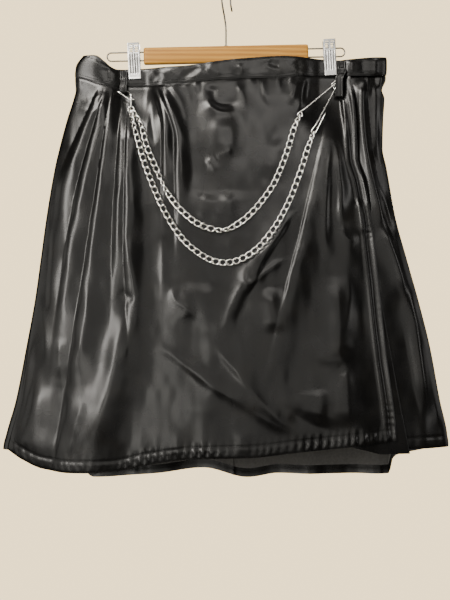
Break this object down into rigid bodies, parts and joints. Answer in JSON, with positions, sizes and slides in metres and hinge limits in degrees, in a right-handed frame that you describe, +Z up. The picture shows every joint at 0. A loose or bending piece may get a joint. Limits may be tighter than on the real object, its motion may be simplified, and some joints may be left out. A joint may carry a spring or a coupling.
{
  "type": "leather midi skirt on clip hanger",
  "caption": "Black leather-look wrap skirt with gathers, knife pleats beside its free edge and draped metal chains, clipped by the waistband to a wooden bar hanger with a wire hook.",
  "frame": {"origin": "the point where the hanger's hook hangs: the underside of the hook's arch, at its middle", "axes": "+Z up, +X to the right as seen from the front, -Y towards the front of the skirt"},
  "size_m": [0.7131, 0.0991, 0.7953],
  "materials": {
    "leather": "satin black, fine grain",
    "wood": "honey-coloured satin lacquer",
    "steel": "plated wire and sheet",
    "silver": "polished silver-coloured",
    "rubber": "matt black"
  },
  "bodies": {
    "root": {"hanger_bar": "wood", "waistband_front": "leather", "waistband_back": "leather", "front_overlap_panel": "leather", "front_right_panel": "leather", "back_panel_left": "leather", "back_panel_right": "leather", "belt_loop_left": "leather", "belt_loop_right": "leather", "hanger_hook": "steel", "hanger_loop_left": "steel", "hanger_loop_right": "steel", "clip_left": "steel", "clip_right": "steel", "swivel_clasp": "silver", "clasp_ring": "silver", "chain_upper": "silver", "chain_lower": "silver", "pin_upper": "silver", "pin_lower": "silver", "clip_left_pad_front": "rubber", "clip_left_pad_back": "rubber", "clip_right_pad_front": "rubber", "clip_right_pad_back": "rubber"}
  },
  "joints": []
}
